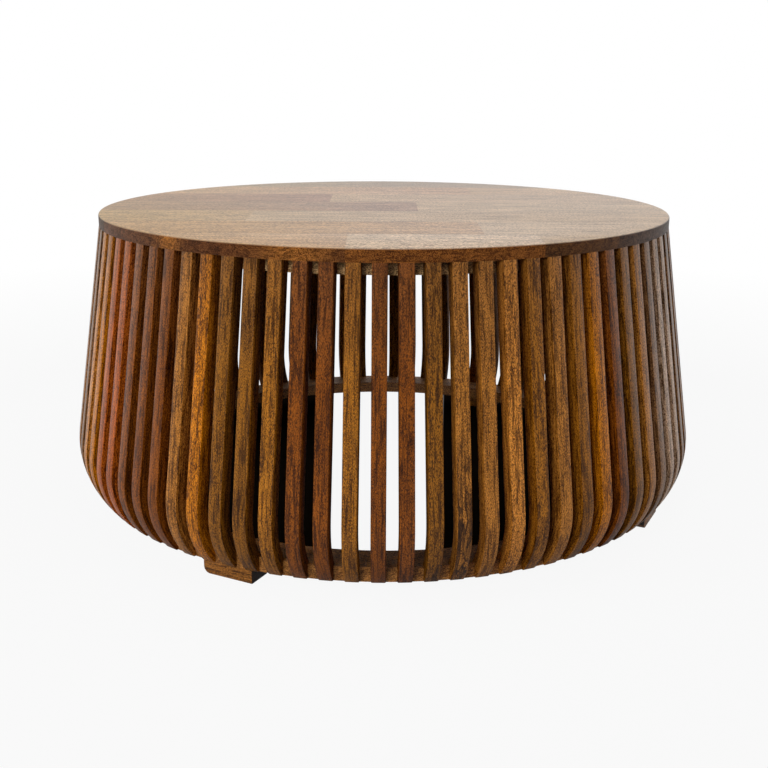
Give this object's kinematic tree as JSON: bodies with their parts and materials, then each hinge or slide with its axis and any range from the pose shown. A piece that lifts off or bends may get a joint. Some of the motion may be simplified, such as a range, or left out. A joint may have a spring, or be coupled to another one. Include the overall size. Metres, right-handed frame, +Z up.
{
  "type": "slatted drum coffee table",
  "caption": "Round drum coffee table: a wooden board top on curved upright slats that bow outward and tuck in at the foot, on a base ring with small block feet.",
  "frame": {"origin": "on the floor under the middle of the table, level with the undersides of the four feet", "axes": "+Z is up along the table's axis, -Y is the front that the picture shows, +X is to the right seen from the front"},
  "size_m": [0.9204, 0.9204, 0.42],
  "materials": {
    "top_wood": "smooth clear satin",
    "slat_wood": "oiled satin",
    "ring_wood": "oiled satin",
    "foot_wood": "oiled satin"
  },
  "bodies": {
    "root": {"base_ring_segment_1": "ring_wood", "base_ring_segment_2": "ring_wood", "base_ring_segment_3": "ring_wood", "base_ring_segment_4": "ring_wood", "base_ring_segment_5": "ring_wood", "base_ring_segment_6": "ring_wood", "base_ring_segment_7": "ring_wood", "base_ring_segment_8": "ring_wood", "foot_front_left": "foot_wood", "foot_front_right": "foot_wood", "foot_rear_left": "foot_wood", "foot_rear_right": "foot_wood", "slats_01_to_05": "slat_wood", "slats_06_to_10": "slat_wood", "slats_11_to_15": "slat_wood", "slats_16_to_20": "slat_wood", "slats_21_to_25": "slat_wood", "slats_26_to_30": "slat_wood", "slats_31_to_35": "slat_wood", "slats_36_to_40": "slat_wood", "slats_41_to_45": "slat_wood", "slats_46_to_50": "slat_wood", "slats_51_to_55": "slat_wood", "slats_56_to_60": "slat_wood", "slats_61_to_65": "slat_wood", "slats_66_to_70": "slat_wood", "slats_71_to_75": "slat_wood", "slats_76_to_80": "slat_wood", "slats_81_to_85": "slat_wood", "top_board_1_left": "top_wood", "top_board_1_middle": "top_wood", "top_board_1_right": "top_wood", "top_board_2_left": "top_wood", "top_board_2_right": "top_wood", "top_board_3_left": "top_wood", "top_board_3_right": "top_wood", "top_board_4_left": "top_wood", "top_board_4_right": "top_wood", "top_board_5_left": "top_wood", "top_board_5_right": "top_wood", "top_board_6_left": "top_wood", "top_board_6_right": "top_wood", "top_board_7_left": "top_wood", "top_board_7_right": "top_wood", "upper_ring_segment_1": "ring_wood", "upper_ring_segment_2": "ring_wood", "upper_ring_segment_3": "ring_wood", "upper_ring_segment_4": "ring_wood", "upper_ring_segment_5": "ring_wood", "upper_ring_segment_6": "ring_wood", "upper_ring_segment_7": "ring_wood", "upper_ring_segment_8": "ring_wood"}
  },
  "joints": []
}
